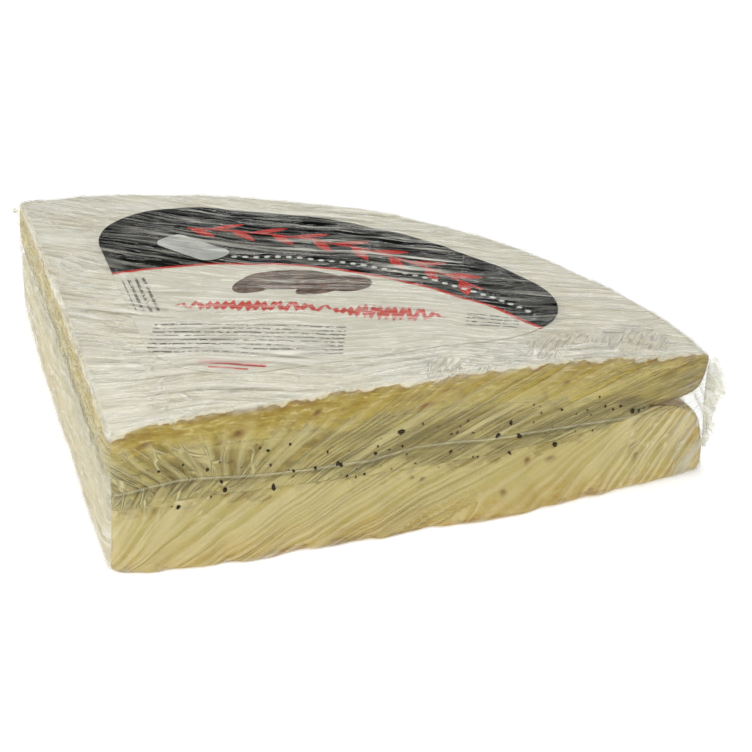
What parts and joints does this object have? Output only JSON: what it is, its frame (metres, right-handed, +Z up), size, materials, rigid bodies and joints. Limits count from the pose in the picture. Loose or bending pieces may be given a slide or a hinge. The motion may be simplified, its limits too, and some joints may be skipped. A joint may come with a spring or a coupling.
{
  "type": "truffle brie wedge",
  "caption": "Quarter wheel of brie split and filled with a cream dotted with truffle, wrapped in clear film, with a paper label under the film and a price sticker on it.",
  "frame": {"origin": "on the surface that the cheese lies on, at the middle of the wrapped wedge's box", "axes": "+Z up through the layers; the wheel's middle, the wedge's tip, points to -X -Y; the front cut face looks to -Y and the other cut face to -X"},
  "size_m": [0.1878, 0.1936, 0.0458],
  "materials": {
    "brie": "satin",
    "truffle_cream": "satin",
    "label_paper": "satin",
    "sticker_paper": "satin",
    "clear_film": "gloss"
  },
  "bodies": {
    "root": {"brie_top": "brie", "brie_bottom": "brie", "truffle_cream": "truffle_cream", "label": "label_paper", "price_sticker": "sticker_paper", "film": "clear_film"}
  },
  "joints": []
}
